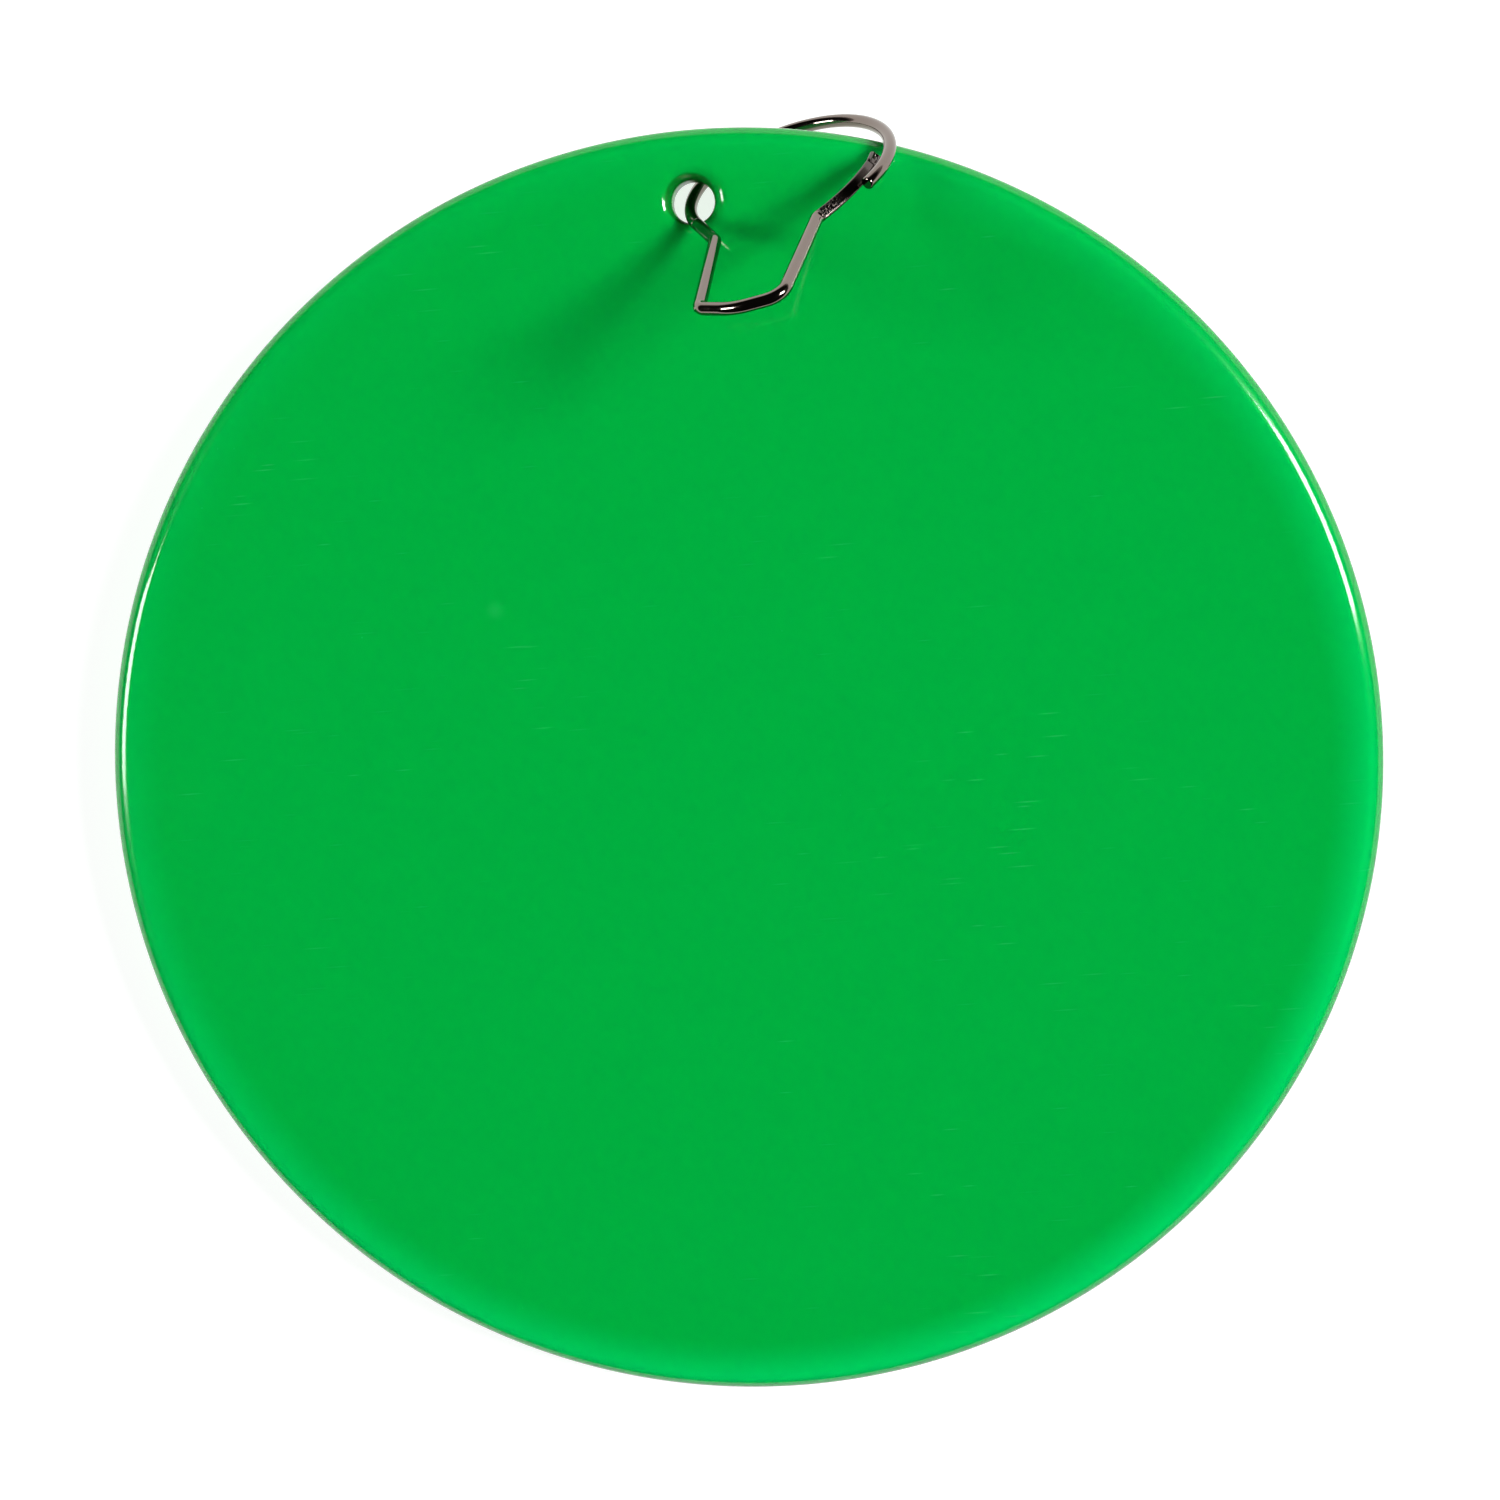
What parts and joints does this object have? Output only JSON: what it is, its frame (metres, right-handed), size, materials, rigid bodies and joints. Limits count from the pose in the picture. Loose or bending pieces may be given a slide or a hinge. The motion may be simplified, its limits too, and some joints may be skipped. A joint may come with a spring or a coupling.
{
  "type": "throwing disc with hanging hook",
  "caption": "Solid round translucent plastic throwing disc with a rounded rim, hung by a pear-shaped wire snap hook through a small hole near its edge.",
  "frame": {"origin": "centre of the disc, half way through its thickness", "axes": "+Z is the disc's axis, out of its front face; +Y runs from the centre to the hanging hole; +X is to the right of it seen from the front"},
  "size_m": [0.2032, 0.2047, 0.0468],
  "materials": {
    "green_plastic": "glossy translucent green plastic",
    "plated_wire": "bright nickel-plated steel wire",
    "pressed_wire": "plated steel pressed flat, with tool marks"
  },
  "bodies": {
    "disc": {"disc": "green_plastic"},
    "hook": {"hook_wire": "plated_wire", "latch_arm": "pressed_wire", "latch_catch": "pressed_wire"},
    "gate": {"gate_wire": "plated_wire"}
  },
  "joints": [
    {"name": "hook_swivel", "type": "hinge", "parent": "disc", "child": "hook", "pos_m": [0, 0.0905, 0], "axis": [0, 0, 1], "range_deg": [0, 130]},
    {"name": "gate_flex", "type": "hinge", "parent": "hook", "child": "gate", "pos_m": [0.02347, 0.10198, -0.00717], "axis": [-0.2451, 0.8223, 0.5135], "range_deg": [0, 14], "stiffness_Nm_per_rad": 0.05}
  ]
}
